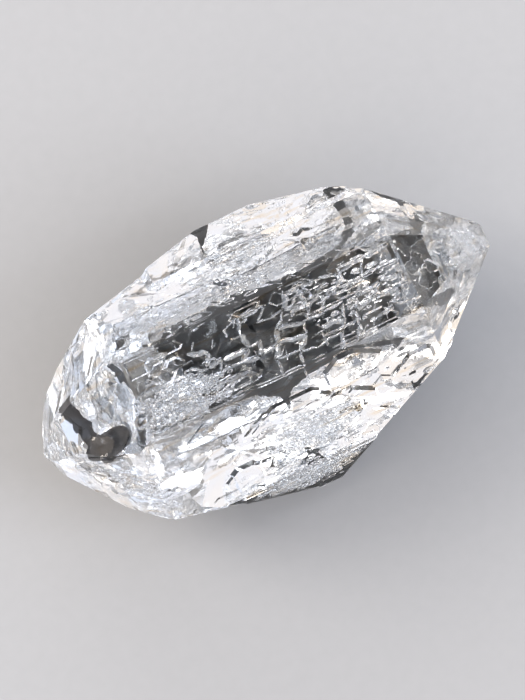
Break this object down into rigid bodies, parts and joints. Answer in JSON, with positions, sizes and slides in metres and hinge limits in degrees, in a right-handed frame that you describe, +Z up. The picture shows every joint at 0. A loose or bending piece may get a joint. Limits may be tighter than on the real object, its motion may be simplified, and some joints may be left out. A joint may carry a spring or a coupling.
{
  "type": "herkimer diamond quartz crystal",
  "caption": "Clear doubly terminated quartz crystal of Herkimer habit, a stubby hexagonal prism with pointed faceted ends, lying on a long prism face.",
  "frame": {"origin": "middle of the crystal's base rectangle, on the surface that it rests on", "axes": "+X along the crystal's c axis, its length; +Z up, out of the narrow upper prism face"},
  "size_m": [0.022, 0.013, 0.0104],
  "materials": {
    "rock_crystal": "natural glassy crystal faces"
  },
  "bodies": {
    "root": {"quartz_crystal": "rock_crystal"}
  },
  "joints": []
}
